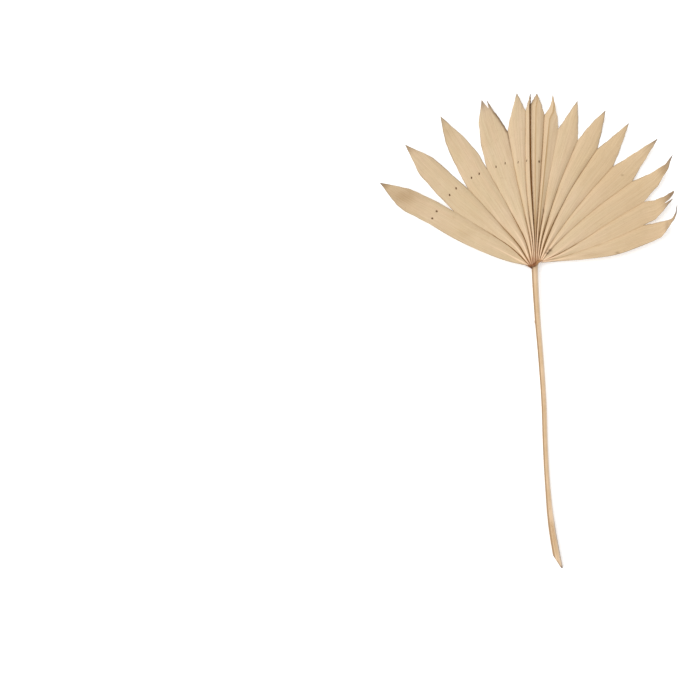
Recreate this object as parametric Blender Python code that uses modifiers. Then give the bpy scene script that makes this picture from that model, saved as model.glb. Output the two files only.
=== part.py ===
"""A dried fan-palm frond, its fingers trimmed to points, lying face up on a flat surface.

The frond has a stem, a small crest where the stem ends, and one pleated blade whose
fifteen fingers are joined along folds and free past the notches.  The stem points
along -Y and the fingers along +Y, with +Z up.
"""
import math

import bmesh
import bpy
from mathutils import Vector

MM = 0.001

# ---- driving dimensions, in millimetres and degrees ------------------------------------
BLADE_THICKNESS = 0.5
CLEARANCE = 0.35            # left between pieces that touch
HUB_CENTRE = (2.5, -1.0)    # the blade's folds start on an arc about this point
HUB_RADIUS = 9.2
HUB_ARC = (186.0, 14.0)     # directions of the arc's two ends
HUB_VALLEY_HEIGHT = 4.8     # of the folds' low lines where they leave the hub
HUB_PLEAT = 2.6             # depth of the pleats where they leave the hub
NEAR_PLEAT = 3.6            # depth of the pleats at NEAR_PLEAT_AT of the way out
NEAR_PLEAT_AT = 0.28
OUTER_PLEAT_FROM = 0.35     # from here to OUTER_PLEAT_AT they settle to each finger's own depth
OUTER_PLEAT_AT = 0.9
DROP_END = 0.65             # how far out the folds have come down to the height of their ends

STEM_WIDTH = 6.2
STEM_ABOVE = 2.1            # height of the flat top over the widest line
STEM_BELOW = 3.0            # depth of the rounded underside below it
STEM_TOP_FLATTENING = 0.6   # the smaller, the flatter the top
STEM_SIDES = 14
CREST_RADIUS = HUB_RADIUS - CLEARANCE
CREST_HEIGHT = 4.6
CREST_MIDDLE_Z = 6.0

JOINED_ROWS = 16            # rows of faces from the hub to the notches
JOINED_CROWDING = 1.15      # above 1 the rows are closer together near the hub
FREE_ROWS = 9               # rows of faces from the notches to the tips

# The folds between fingers, from the left round to the right: direction and distance of
# the outer end from the hub, sideways bow at half length, height of the outer end.
FOLDS = (
    (158.5, 119.5, 4.8, 6.5),    # the first finger's free lower edge
    (146.0, 102.0, -2.0, 3.0),
    (130.5, 107.5, -3.0, 0.9),
    (115.5, 115.0, -3.0, 0.0),
    (100.5, 144.0, -2.5, 0.0),
    (92.5, 163.0, 3.0, 1.5),
    (90.0, 170.5, -0.5, 0.2),
    (85.5, 159.5, 0.5, 0.0),
    (79.5, 146.5, 3.0, 1.2),
    (70.0, 140.5, 4.0, 0.0),
    (60.5, 141.0, 5.0, 0.0),
    (50.5, 134.5, 4.5, 0.7),
    (40.0, 137.5, 2.5, 2.4),
    (29.5, 134.5, -2.0, 4.5),
    (19.5, 126.0, -2.5, 7.0),
    (10.0, 117.0, -4.5, 10.0),   # the last finger's free lower edge
)

# The fingers: tip direction and reach, tip height above the notches, pleat depth at the
# notches, then the corners of the left and of the right cut edge as direction, distance.
FINGERS = (
    ((152.0, 184.0), 3.0, 1.6, ((157.5, 146.0), (156.5, 157.5)), ((147.0, 128.0), (148.5, 154.0))),
    ((137.0, 185.5), 5.0, 1.8, ((143.5, 128.0), (141.5, 154.0)), ((132.0, 131.0), (133.0, 155.0))),
    ((122.0, 185.5), 2.5, 1.9, ((127.5, 138.0), (125.5, 160.0)), ((116.0, 131.0), (118.0, 151.5))),
    ((107.5, 182.5), 6.0, 2.2, ((113.5, 137.0), (111.0, 161.0)), ((102.5, 157.0), (104.5, 169.0))),
    ((95.5, 182.5), 3.0, 2.8, ((99.0, 156.0), (97.5, 166.0)), ((93.5, 168.0), (94.3, 174.0))),
    ((90.8, 180.5), 6.0, 3.4, ((92.1, 168.0), (91.5, 173.5)), ((90.3, 173.5), (90.5, 177.0))),
    ((88.7, 181.0), 5.0, 3.8, ((89.6, 174.0), (89.2, 177.5)), ((86.4, 165.5), (87.3, 172.0))),
    ((83.6, 180.5), 7.0, 3.6, ((84.3, 165.5), (83.7, 170.5)), ((80.3, 156.0), (82.0, 168.0))),
    ((75.0, 179.5), 3.5, 2.6, ((77.8, 157.0), (76.4, 168.0)), ((71.8, 153.0), (73.4, 166.0))),
    ((65.0, 180.0), 5.0, 2.6, ((68.5, 154.5), (66.9, 167.0)), ((62.2, 153.5), (63.6, 166.5))),
    ((56.0, 181.0), 3.0, 2.3, ((58.9, 154.0), (57.4, 167.0)), ((52.6, 149.5), (54.4, 165.0))),
    ((45.5, 186.5), 7.0, 2.1, ((48.7, 150.5), (47.0, 168.5)), ((42.0, 150.5), (43.8, 168.0))),
    ((38.5, 185.0), 12.0, 2.1, ((38.0, 156.0), (37.4, 173.5)), ((32.4, 155.5), (35.5, 173.0))),
    ((27.5, 168.5), 8.0, 1.9, ((28.0, 145.0), (27.3, 156.0)), ((20.5, 138.0), (23.0, 150.5))),
    ((22.5, 165.0), 13.0, 1.7, ((18.6, 140.0), (18.3, 153.0)), ((12.0, 137.0), (17.5, 154.5))),
)

# The stem's centre line: across, along, height, and width as a share of STEM_WIDTH.
STEM_LINE = (
    (2.2, -1.0 - CLEARANCE, 5.8, 1.06),
    (2.2, -8.0, 6.0, 1.04),
    (4.9, -55.0, 7.2, 0.97),
    (8.4, -95.0, 7.0, 0.93),
    (12.0, -145.0, 5.6, 0.90),
    (13.6, -190.0, 4.1, 0.86),
    (16.2, -235.0, 2.9, 0.88),
    (20.2, -275.0, 3.45, 1.14),
    (24.4, -300.0, 3.75, 1.24),
    (27.3, -320.8, 3.75, 1.20),
)
STEM_CUT_POINT = (28.8, -319.2)     # a point of the slanting cut, near the tip that it leaves
STEM_CUT_DIRECTION = -57.0          # of the cut, from +X
STEM_CUTTER_SIZE = 40.0


def polar(direction, distance):
    """The point at this direction and distance from the hub, in the frond's plane."""
    angle = math.radians(direction)
    return Vector((distance * math.cos(angle), distance * math.sin(angle)))


def ease(value):
    """A smooth step from 0 to 1."""
    value = min(max(value, 0.0), 1.0)
    return value * value * (3.0 - 2.0 * value)


def hub_point(index):
    """Where the fold with this number leaves the hub."""
    start, end = HUB_ARC
    direction = start + (end - start) * index / (len(FOLDS) - 1)
    return Vector(HUB_CENTRE) + polar(direction, HUB_RADIUS)


def fold_point(index, along):
    """A point of a fold, from 0 at the hub to 1 at its outer end, with its height."""
    direction, distance, bow, end_height = FOLDS[index]
    start, end = hub_point(index), polar(direction, distance)
    side = (end - start).orthogonal().normalized()
    flat = start.lerp(end, along) + side * bow * 4.0 * along * (1.0 - along)
    drop = ease(along / DROP_END)
    rest = BLADE_THICKNESS / 2 + end_height
    height = HUB_VALLEY_HEIGHT + (rest - HUB_VALLEY_HEIGHT) * drop
    return Vector((flat.x, flat.y, height))


def pleat_depth(finger, along):
    """How far a finger's midrib stands above its folds."""
    outer = FINGERS[finger][2]
    near = max(NEAR_PLEAT, outer)
    depth = HUB_PLEAT + (near - HUB_PLEAT) * ease(along / NEAR_PLEAT_AT)
    settled = (along - OUTER_PLEAT_FROM) / (OUTER_PLEAT_AT - OUTER_PLEAT_FROM)
    return depth + (outer - near) * ease(settled)


def midrib_point(finger, along):
    """A point of a midrib between the hub and the level of the notches."""
    left, right = fold_point(finger, along), fold_point(finger + 1, along)
    middle = (left + right) / 2
    middle.z += pleat_depth(finger, along)
    return middle


def edge_plan(finger, side, along):
    """A point of a cut edge in plan, side 0 for the left and 1 for the right, from notch to tip."""
    tip, corners = FINGERS[finger][0], FINGERS[finger][3 + side]
    path = [fold_point(finger + side, 1.0).to_2d()] + [polar(*corner) for corner in corners + (tip,)]
    place = along * (len(path) - 1)
    leg = min(int(place), len(path) - 2)
    return path[leg].lerp(path[leg + 1], place - leg)


def free_midrib_point(finger, along):
    """A point of a midrib from the level of the notches to the finger's tip."""
    flat = (edge_plan(finger, 0, along) + edge_plan(finger, 1, along)) / 2
    tip_lift, depth = FINGERS[finger][1:3]
    height = midrib_point(finger, 1.0).z + tip_lift * along ** 2 - depth / 2 * along
    return Vector((flat.x, flat.y, height))


def edge_point(finger, side, along):
    """A point of a cut edge: it hangs below the midrib less and less as the finger narrows."""
    flat = edge_plan(finger, side, along)
    middle, start = free_midrib_point(finger, along), midrib_point(finger, 1.0)
    notch = fold_point(finger + side, 1.0)
    narrowing = (flat - middle.to_2d()).length / (notch - start).to_2d().length
    height = middle.z - (start.z - notch.z) * min(narrowing, 1.0)
    return Vector((flat.x, flat.y, max(height, BLADE_THICKNESS / 2)))


def new_object(name, mesh, collection, material):
    """Put a mesh in the scene under this name and material."""
    item = bpy.data.objects.new(name, mesh)
    mesh.materials.clear()
    mesh.materials.append(material)
    collection.objects.link(item)
    return item


def make_material(name, colour, roughness):
    material = bpy.data.materials.new(name)
    material.use_nodes = True
    shader = material.node_tree.nodes["Principled BSDF"]
    shader.inputs["Base Color"].default_value = (*colour, 1.0)
    shader.inputs["Roughness"].default_value = roughness
    shader.inputs["Metallic"].default_value = 0.0
    return material


def make_blade(collection):
    """The pleated blade: a loft from the hub to the tips, thickened with Solidify."""
    shape = bmesh.new()

    def vertex(point):
        return shape.verts.new(point * MM)

    def skin(first, second):
        """Faces between two neighbouring lines of vertices, which may share their ends."""
        for row in range(len(first) - 1):
            corners = []
            for corner in (first[row], first[row + 1], second[row + 1], second[row]):
                if corner not in corners:
                    corners.append(corner)
            shape.faces.new(corners)

    joined = [(row / JOINED_ROWS) ** JOINED_CROWDING for row in range(JOINED_ROWS + 1)]
    free = [row / FREE_ROWS for row in range(1, FREE_ROWS)]
    folds = [[vertex(fold_point(i, t)) for t in joined] for i in range(len(FOLDS))]
    for finger in range(len(FINGERS)):
        tip = vertex(free_midrib_point(finger, 1.0))
        midrib = [vertex(midrib_point(finger, t)) for t in joined]
        midrib += [vertex(free_midrib_point(finger, t)) for t in free] + [tip]
        left = folds[finger] + [vertex(edge_point(finger, 0, t)) for t in free] + [tip]
        right = folds[finger + 1] + [vertex(edge_point(finger, 1, t)) for t in free] + [tip]
        skin(left, midrib)
        skin(midrib, right)
    bmesh.ops.recalc_face_normals(shape, faces=shape.faces)
    mesh = bpy.data.meshes.new("blade")
    shape.to_mesh(mesh)
    shape.free()
    blade = new_object("blade", mesh, collection, make_material("dry_blade", (0.72, 0.55, 0.37), 0.7))
    wall = blade.modifiers.new("thickness", "SOLIDIFY")
    wall.thickness = BLADE_THICKNESS * MM
    wall.offset = 0.0
    return blade


def stem_section(guides):
    """The outline that is swept along the stem: a flat top over a rounded underside."""
    data = bpy.data.curves.new("stem_section", "CURVE")
    outline = data.splines.new("POLY")
    outline.points.add(STEM_SIDES - 1)
    for number, point in enumerate(outline.points):
        angle = 2 * math.pi * number / STEM_SIDES
        rise = math.sin(angle)
        height = STEM_BELOW * rise if rise < 0 else STEM_ABOVE * rise ** STEM_TOP_FLATTENING
        point.co = (STEM_WIDTH / 2 * math.cos(angle) * MM, height * MM, 0, 1)
    outline.use_cyclic_u = True
    section = bpy.data.objects.new("stem_section", data)
    guides.objects.link(section)
    return section


def stem_line(guides, section):
    """The stem's centre line as a curve that carries the section."""
    data = bpy.data.curves.new("stem_line", "CURVE")
    data.dimensions = "3D"
    data.twist_mode = "Z_UP"
    data.resolution_u = 4
    data.bevel_mode = "OBJECT"
    data.bevel_object = section
    data.use_fill_caps = True
    spline = data.splines.new("BEZIER")
    spline.bezier_points.add(len(STEM_LINE) - 1)
    for point, (across, along, height, width) in zip(spline.bezier_points, STEM_LINE):
        point.co = (across * MM, along * MM, height * MM)
        point.handle_left_type = point.handle_right_type = "AUTO"
        point.radius = width
    line = bpy.data.objects.new("stem_line", data)
    guides.objects.link(line)
    return line


def stem_cutter(cutters):
    """The block that cuts the stem's lower end on the slant."""
    size = STEM_CUTTER_SIZE * MM
    bpy.ops.mesh.primitive_cube_add(size=size)
    cutter = bpy.context.active_object
    cutter.name = "stem_end_cutter"
    for held_by in list(cutter.users_collection):
        held_by.objects.unlink(cutter)
    cutters.objects.link(cutter)
    cutter.rotation_euler.z = math.radians(STEM_CUT_DIRECTION)
    away = Vector(STEM_CUT_POINT) * MM + polar(STEM_CUT_DIRECTION - 90, size / 2)
    cutter.location = (away.x, away.y, 0)
    cutter.hide_render = True
    cutter.display_type = "WIRE"
    return cutter


def make_stem(collection, cutter, guides):
    """The stem: its section swept along its line, made a closed mesh and cut."""
    section = stem_section(guides)
    line = stem_line(guides, section)
    evaluated = line.evaluated_get(bpy.context.evaluated_depsgraph_get())
    mesh = bpy.data.meshes.new_from_object(evaluated)
    shape = bmesh.new()
    shape.from_mesh(mesh)
    bmesh.ops.remove_doubles(shape, verts=shape.verts, dist=1e-6)
    bmesh.ops.recalc_face_normals(shape, faces=shape.faces)
    shape.to_mesh(mesh)
    shape.free()
    mesh.name = "stem"
    for used in (line, section):
        bpy.data.objects.remove(used)

    stem = new_object("stem", mesh, collection, make_material("dry_stem", (0.74, 0.54, 0.32), 0.6))
    mesh.shade_smooth()
    mesh.set_sharp_from_angle(angle=math.radians(40))
    cut = stem.modifiers.new("slanting_cut", "BOOLEAN")
    cut.operation = "DIFFERENCE"
    cut.object = cutter
    return stem


def make_crest(collection):
    """The crest between the stem's end and the folds: a low half dome, flat towards the stem."""
    shape = bmesh.new()
    bmesh.ops.create_uvsphere(shape, u_segments=28, v_segments=12, radius=1.0)
    for vert in shape.verts:
        vert.co.x = (HUB_CENTRE[0] + CREST_RADIUS * vert.co.x) * MM
        vert.co.y = (HUB_CENTRE[1] + CREST_RADIUS * vert.co.y) * MM
        vert.co.z = (CREST_MIDDLE_Z + CREST_HEIGHT / 2 * vert.co.z) * MM
    everything = shape.verts[:] + shape.edges[:] + shape.faces[:]
    bmesh.ops.bisect_plane(
        shape, geom=everything, dist=1e-7, clear_outer=True,
        plane_co=(0, HUB_CENTRE[1] * MM, 0), plane_no=(0, -1, 0),
    )
    rim = [edge for edge in shape.edges if edge.is_boundary]
    bmesh.ops.contextual_create(shape, geom=rim)
    bmesh.ops.recalc_face_normals(shape, faces=shape.faces)
    mesh = bpy.data.meshes.new("crest")
    shape.to_mesh(mesh)
    shape.free()
    crest = new_object("crest", mesh, collection, make_material("crest_fibre", (0.34, 0.12, 0.04), 0.75))
    mesh.shade_smooth()
    mesh.set_sharp_from_angle(angle=math.radians(40))
    return crest


def centre_on_base(pieces, collection):
    """Move all pieces so that the origin is the middle of the frond's footprint."""
    bpy.context.view_layer.update()
    depsgraph = bpy.context.evaluated_depsgraph_get()
    points = []
    for piece in pieces:
        mesh = piece.evaluated_get(depsgraph).to_mesh()
        points += [piece.matrix_world @ vert.co for vert in mesh.vertices]
    low = [min(point[axis] for point in points) for axis in range(3)]
    high = [max(point[axis] for point in points) for axis in range(3)]
    frame = bpy.data.objects.new("frond_frame", None)
    frame.location = (-(low[0] + high[0]) / 2, -(low[1] + high[1]) / 2, -low[2])
    collection.objects.link(frame)
    return frame


def main():
    for item in list(bpy.data.objects):
        bpy.data.objects.remove(item)
    collection = bpy.data.collections.new("fan_palm_frond")
    cutters = bpy.data.collections.new("cutters")
    for group in (collection, cutters):
        bpy.context.scene.collection.children.link(group)

    cutter = stem_cutter(cutters)
    pieces = [make_stem(collection, cutter, cutters), make_crest(collection), make_blade(collection)]
    frame = centre_on_base(pieces, collection)
    for piece in pieces + [cutter]:
        piece.parent = frame


main()
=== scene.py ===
import math

import bmesh
import bpy
import numpy as np
from bpy.props import FloatProperty, FloatVectorProperty, IntProperty, PointerProperty
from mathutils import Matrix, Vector


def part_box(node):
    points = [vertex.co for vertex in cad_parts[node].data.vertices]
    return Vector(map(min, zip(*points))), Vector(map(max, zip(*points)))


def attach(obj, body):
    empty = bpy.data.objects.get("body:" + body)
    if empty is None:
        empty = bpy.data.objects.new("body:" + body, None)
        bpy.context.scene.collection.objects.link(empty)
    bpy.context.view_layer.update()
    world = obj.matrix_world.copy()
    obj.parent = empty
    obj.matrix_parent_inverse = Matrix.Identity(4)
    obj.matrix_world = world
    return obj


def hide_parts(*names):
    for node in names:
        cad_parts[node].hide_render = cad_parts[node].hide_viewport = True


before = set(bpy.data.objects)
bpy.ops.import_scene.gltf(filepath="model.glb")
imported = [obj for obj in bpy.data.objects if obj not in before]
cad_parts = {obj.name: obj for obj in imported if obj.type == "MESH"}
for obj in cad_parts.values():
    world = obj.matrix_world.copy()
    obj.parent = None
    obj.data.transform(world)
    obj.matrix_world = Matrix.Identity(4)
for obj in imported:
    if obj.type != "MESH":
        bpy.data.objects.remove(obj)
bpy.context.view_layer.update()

bl_info = {
    "name": "Dried fan palm frond",
    "version": (1, 0, 0),
    "blender": (4, 5, 0),
    "location": "3D View > Sidebar > Frond",
    "description": "Builds a dried fan palm leaf: pleated blade, crest and stem, with its stage",
    "category": "Add Mesh",
}

MM = 0.001

# The crest's solid gives the place of the hub, where all folds meet.
CREST_LOW, CREST_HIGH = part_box("crest")
HUB = ((CREST_LOW.x + CREST_HIGH.x) / 2 - 2.5 * MM, CREST_LOW.y + 1.0 * MM)

# ---- the leaf's plan, in millimetres and degrees about the hub --------------------------
# Folds from the left round to the right: where each leaves the crest, its direction at
# FOLD_MARKS from the hub, its outer end as direction and distance, the end's height.
FOLD_MARKS = (25.0, 55.0, 90.0)
FOLDS = (
    ((-6.4, -0.8), (172.6, 166.0, 161.6), (158.5, 119.5), 6.5),
    ((-5.0, 0.0), (142.5, 143.8, 145.6), (146.0, 101.5), 3.0),
    ((-3.3, -0.2), (126.3, 128.8, 129.9), (130.5, 106.2), 0.9),
    ((-1.8, 0.2), (107.5, 111.9, 114.5), (115.5, 113.2), 0.0),
    ((-0.6, 0.6), (97.0, 99.3, 100.4), (100.7, 144.0), 0.0),
    ((0.3, 1.2), (92.5, 95.0, 94.8), (92.7, 163.0), 1.5),
    ((1.2, 1.8), (87.9, 89.9, 90.8), (90.9, 170.5), 0.2),
    ((2.4, 2.2), (83.3, 84.8, 85.0), (85.6, 159.5), 0.0),
    ((3.7, 2.6), (77.6, 79.1, 79.5), (79.5, 146.5), 1.2),
    ((4.8, 3.2), (70.5, 72.2, 71.8), (70.2, 140.5), 0.0),
    ((6.1, 3.9), (61.0, 64.0, 63.3), (61.0, 141.0), 0.0),
    ((7.5, 4.3), (49.5, 52.6, 52.2), (50.9, 134.5), 0.7),
    ((8.8, 4.3), (41.0, 42.8, 42.0), (40.1, 137.5), 2.4),
    ((9.9, 4.2), (22.8, 26.2, 28.9), (29.7, 134.5), 4.5),
    ((9.8, 3.8), (15.0, 16.3, 17.9), (19.7, 123.5), 7.0),
    ((8.2, 2.4), (8.5, 6.0, 7.0), (10.0, 117.0), 10.0),
)

# How dark each fold is painted near the hub and far out: partly its own brown, partly painted crease shade.
FOLD_SHADES = ((0.2, 0.0), (1.1, 0.35), (1.0, 0.6), (1.3, 0.6), (0.7, 0.3), (1.4, 0.25), (1.5, 1.2),
               (1.3, 1.5), (1.6, 0.35), (1.4, 0.5), (1.5, 0.8), (0.3, 0.45), (0.45, 0.5),
               (0.9, 0.35), (0.2, 0.2), (0.0, 0.0))
# How deep each finger is pleated near the hub and far out.
PLEATS = ((1.3, 1.1), (1.6, 1.3), (1.9, 1.4), (2.2, 1.6), (2.5, 2.0), (2.8, 2.8), (2.8, 2.6), (2.9, 2.8),
          (2.7, 1.8), (2.6, 1.9), (1.9, 1.6), (1.4, 1.5), (1.5, 1.5), (1.2, 1.3), (0.9, 1.1))

# Fingers: tip, tip lift, pleat depth at the notches, corners of the left and right edge.
FINGERS = (
    ((152.0, 184.0), 3.0, 2.2, ((157.5, 146.0), (156.5, 157.5)), ((147.0, 128.0), (148.5, 154.0))),
    ((137.0, 185.5), 5.0, 2.4, ((143.5, 128.0), (141.5, 154.0)), ((132.0, 131.0), (133.0, 155.0))),
    ((122.0, 185.5), 2.5, 2.6, ((127.5, 138.0), (125.5, 160.0)), ((116.0, 131.0), (118.0, 151.5))),
    ((107.5, 182.5), 6.0, 3.2, ((113.5, 137.0), (111.0, 161.0)), ((102.5, 157.0), (104.5, 169.0))),
    ((95.5, 182.5), 3.0, 4.5, ((99.0, 156.0), (97.5, 166.0)), ((93.5, 168.0), (94.3, 174.0))),
    ((91.1, 180.5), 6.0, 9.5, ((92.2, 168.0), (91.7, 173.5)), ((90.8, 173.5), (90.9, 177.0))),
    ((88.9, 181.0), 5.0, 8.8, ((90.1, 174.0), (89.5, 177.5)), ((86.4, 165.5), (87.3, 172.0))),
    ((83.6, 180.5), 7.0, 7.0, ((84.3, 165.5), (83.7, 170.5)), ((80.3, 156.0), (82.0, 168.0))),
    ((75.0, 179.5), 3.5, 4.2, ((77.8, 157.0), (76.4, 168.0)), ((71.8, 153.0), (73.4, 166.0))),
    ((65.0, 180.0), 5.0, 3.6, ((68.5, 154.5), (66.9, 167.0)), ((62.2, 153.5), (63.6, 166.5))),
    ((56.0, 181.0), 3.0, 3.4, ((58.9, 154.0), (57.4, 167.0)), ((52.6, 149.5), (54.4, 165.0))),
    ((45.5, 186.5), 7.0, 3.2, ((48.7, 150.5), (47.0, 168.5)), ((42.0, 150.5), (43.8, 168.0))),
    ((38.5, 185.0), 12.0, 3.0, ((38.0, 156.0), (37.4, 173.5)), ((32.4, 155.5), (35.5, 173.0))),
    ((27.9, 165.5), 8.0, 2.8, ((28.0, 145.0), (27.6, 155.5)), ((20.5, 138.0), (23.0, 149.5))),
    ((22.6, 160.0), 13.0, 2.4, ((18.6, 140.0), (18.3, 152.4), (20.0, 156.6)),
     ((12.0, 137.0), (17.8, 153.6), (19.8, 157.2))),
)
# Fingers whose tip has split in two: second tip, how far along the split starts, which column,
# and how blunt the first tip is.
SPLITS = {3: ((105.9, 180.6), 0.80, 0.74, 0.0), 13: ((25.4, 160.7), 0.69, 0.54, 1.7)}
# Midribs off the middle: share of the width to their left near the hub and far out.
MIDRIB_SHARES = {4: (0.55, 0.50), 5: (0.74, 0.62), 6: (0.42, 0.38), 7: (0.36, 0.29),
                 9: (0.50, 0.55), 12: (0.80, 0.50), 13: (0.35, 0.45)}
# Fullness of the left and right half: 1 is a flat slope, more is flat-topped with a steep side.
FULLNESS = {4: (3.4, 4.2), 5: (2.2, 1.05), 6: (1.6, 3.0), 7: (1.3, 1.5), 8: (3.0, 3.2), 9: (3.4, 4.6)}
EVEN_FULLNESS = 4.0
# Fingers whose right flank, turned from the light, gets painted shade near the hub: how dark, and how far
# from the fold.
PAINTED_SHADE_FLANKS = {1: (0.6, 1.8), 2: (0.6, 1.8), 3: (0.6, 1.8), 4: (0.85, 2.6), 8: (0.85, 2.4), 9: (0.9, 2.4)}
# How warm each finger's colour is.
FINGER_TONES = (0.35, 0.15, 0.05, 0.0, 0.0, 0.25, 0.15, 0.35, 0.2, 0.35, 0.3, 0.2, 0.3, 0.4, 0.45)
# Small pricks in a row: direction and distance from the hub.
PRICKS = ((155.4, 117.6), (151.1, 116.8), (140.1, 115.3), (135.2, 114.9), (125.2, 113.0),
         (120.5, 112.2), (110.6, 111.1), (105.3, 111.7), (98.3, 109.8), (93.5, 110.5), (86.7, 109.7))
# Stains: across, along, reach across, reach along, strength.
STAINS = (
    (-136.0, 72.0, 15.0, 9.0, 0.62), (-158.0, 84.0, 8.0, 6.0, 0.55), (-133.0, 124.0, 6.0, 7.0, 0.40),
    (-93.0, 143.0, 12.0, 9.0, 0.22), (11.0, 57.0, 0.8, 3.2, 0.9), (17.4, 15.1, 2.1, 1.5, 1.0),
    (14.7, 12.2, 2.0, 1.2, 1.0), (88.0, 12.2, 2.0, 1.2, 0.5), (94.2, 95.0, 1.0, 0.8, 0.5),
    (104.0, 132.0, 6.0, 12.0, 0.30), (130.0, 112.0, 9.0, 9.0, 0.40), (140.0, 70.0, 9.0, 7.0, 0.45),
    (148.0, 44.0, 9.0, 7.0, 0.42), (76.0, 150.0, 4.0, 9.0, 0.28), (8.0, 110.0, 0.8, 1.2, 0.5),
    (60.0, 10.0, 14.0, 3.0, 0.25), (-71.0, 33.0, 8.0, 4.0, 0.15), (0.0, 176.0, 4.0, 4.0, 0.3),
    (-140.0, 74.0, 26.0, 14.0, 0.34), (143.5, 73.0, 4.0, 4.5, 0.75), (137.5, 66.0, 4.5, 3.0, 0.30),
    (136.5, 101.0, 5.0, 8.0, 0.55), (139.5, 38.0, 2.0, 8.0, 0.40), (-2.6, 168.0, 1.2, 9.0, 0.55),
)

# The blade's grid: rows up to the notches, rows past them, columns on each side of a midrib.
ROWS_JOINED, ROWS_FREE, HALF_COLUMNS = 88, 44, 10
PRICK_SHAPE = (1.15, 1.25, 0.45)  # across, along and depth, as shares of a prick's width
PRICK_DARKNESS = 5.0        # at its middle; it falls to nothing at its rim
BLADE_THICKNESS = 0.5
HUB_HEIGHT = 6.9            # of the valleys where they leave the crest
NEAR_HEIGHT = 4.8           # of the valleys a little way out
NEAR_END = 0.16             # where "a little way out" is, as a share of a fold's length
DROP_END = 0.65             # where a valley has come down to its end height, as such a share
HUB_PLEAT = 1.3             # how deep all pleats are at the crest

# The stem's centre line: across, along, height, width as a share of the full width.
STEM_LINE = (
    (3.2, 9.0, 4.2, 0.55),
    (2.2, 4.0, 5.0, 0.95),
    (1.6, -1.35, 5.8, 1.10),
    (1.6, -8.0, 6.0, 1.09),
    (4.1, -55.0, 7.2, 1.00),
    (7.5, -95.0, 7.0, 0.93),
    (11.1, -145.0, 5.6, 0.90),
    (12.8, -190.0, 4.1, 0.86),
    (15.6, -235.0, 2.9, 0.88),
    (19.5, -275.0, 3.45, 1.14),
    (23.5, -300.0, 3.75, 1.22),
    (27.6, -320.8, 3.75, 1.20),
)
STEM_CUT_POINT = (28.8, -319.2)
STEM_CUT_DIRECTION = -57.0
# A small scar on the stem's left margin: across, along, height; its reach and its height.
SCAR, SCAR_REACH, SCAR_HEIGHT = (1.6, -60.5, 7.2), 1.8, 0.55

# The crest's line over the inner ends of the folds: across, along, height, thickness.
CREST_LINES = (
    ((-6.8, -1.2, 6.4, 0.3), (-4.6, -0.6, 7.2, 0.8), (-2.0, -0.9, 7.9, 1.25), (0.3, -0.7, 8.4, 1.6),
     (2.4, 0.5, 8.4, 1.3), (4.1, 2.0, 8.4, 1.05), (6.2, 3.5, 8.1, 0.9), (8.6, 4.2, 7.7, 0.75),
     (11.4, 3.9, 7.2, 0.5), (16.5, 3.8, 6.4, 0.25)),
    ((-0.9, -5.2, 6.6, 0.25), (-1.7, -3.6, 7.0, 0.75), (-3.3, -2.4, 7.1, 0.95), (-5.2, -1.5, 6.7, 0.75),
     (-7.6, -0.6, 6.2, 0.3)),
    ((-1.6, 0.6, 7.6, 0.4), (0.6, 0.7, 8.2, 0.8), (2.4, 2.4, 8.5, 0.9), (4.0, 4.2, 8.4, 0.6),
     (6.6, 5.8, 7.9, 0.3)),
)

CAMERA_PLACE = (-0.1938, -0.0900, 1.4434)   # from the hub, in metres
CAMERA_LENS = 70.0
FLOOR_GAP = 0.00005         # the floor lies a hair lower than the frond


def polar(direction, distance):
    """The place at a direction and a distance from the hub."""
    angle = math.radians(direction)
    return np.array((distance * math.cos(angle), distance * math.sin(angle)))


def in_metres(place):
    """A place given from the hub in millimetres, as a place in the scene."""
    return (place[0] * MM + HUB[0], place[1] * MM + HUB[1], place[2] * MM)


def ease(value):
    """Goes from 0 to 1 and starts and ends gently."""
    value = np.clip(value, 0.0, 1.0)
    return value * value * (3.0 - 2.0 * value)


def smooth_path(points, share):
    """Points of a smooth line through these points, at shares of its length."""
    points = np.array(points, float)
    steps = np.linalg.norm(np.diff(points, axis=0), axis=1)
    marks = np.concatenate(([0.0], np.cumsum(steps)))
    slopes = np.gradient(points, marks, axis=0)
    place = np.asarray(share) * marks[-1]
    leg = np.clip(np.searchsorted(marks, place, side="right") - 1, 0, len(steps) - 1)
    length = steps[leg][:, None]
    t = ((place - marks[leg]) / steps[leg])[:, None]
    start, end = points[leg], points[leg + 1]
    return ((2 * t**3 - 3 * t**2 + 1) * start + (t**3 - 2 * t**2 + t) * length * slopes[leg]
            + (3 * t**2 - 2 * t**3) * end + (t**3 - t**2) * length * slopes[leg + 1])


def straight_path(points, share):
    """Points of a line with slightly eased corners, at shares of its length."""
    points = np.array(points, float)
    marks = np.concatenate(([0.0], np.cumsum(np.linalg.norm(np.diff(points, axis=0), axis=1))))
    marks /= marks[-1]
    share = np.asarray(share, float)
    slack = 0.025 * np.minimum(1.0, np.minimum(share, 1.0 - share) / 0.025)
    total = 0.0
    for shift in (-1.0, -0.5, 0.0, 0.5, 1.0):
        place = share + shift * slack
        total = total + np.stack([np.interp(place, marks, points[:, axis]) for axis in (0, 1)], 1)
    return total / 5.0


def fold_line(index, along):
    """A fold's points in three dimensions, from 0 at the crest to 1 at its outer end."""
    start, directions, end, end_height = FOLDS[index]
    points = [np.array(start)] + [polar(a, r) for a, r in zip(directions, FOLD_MARKS)] + [polar(*end)]
    flat = smooth_path(points, along)
    along = np.asarray(along)
    low = NEAR_HEIGHT + (HUB_HEIGHT - NEAR_HEIGHT) * (1.0 - ease(along / NEAR_END))
    rest = BLADE_THICKNESS / 2 + end_height
    height = low + (rest - low) * ease(along / DROP_END)
    return np.column_stack((flat, height))


def pleat_depth(finger, along):
    """How high a finger's midrib stands over its folds."""
    near, outer = PLEATS[finger]
    depth = HUB_PLEAT + (near - HUB_PLEAT) * ease(along / NEAR_END)
    return depth + (outer - near) * ease((along - 0.22) / 0.45)


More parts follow.
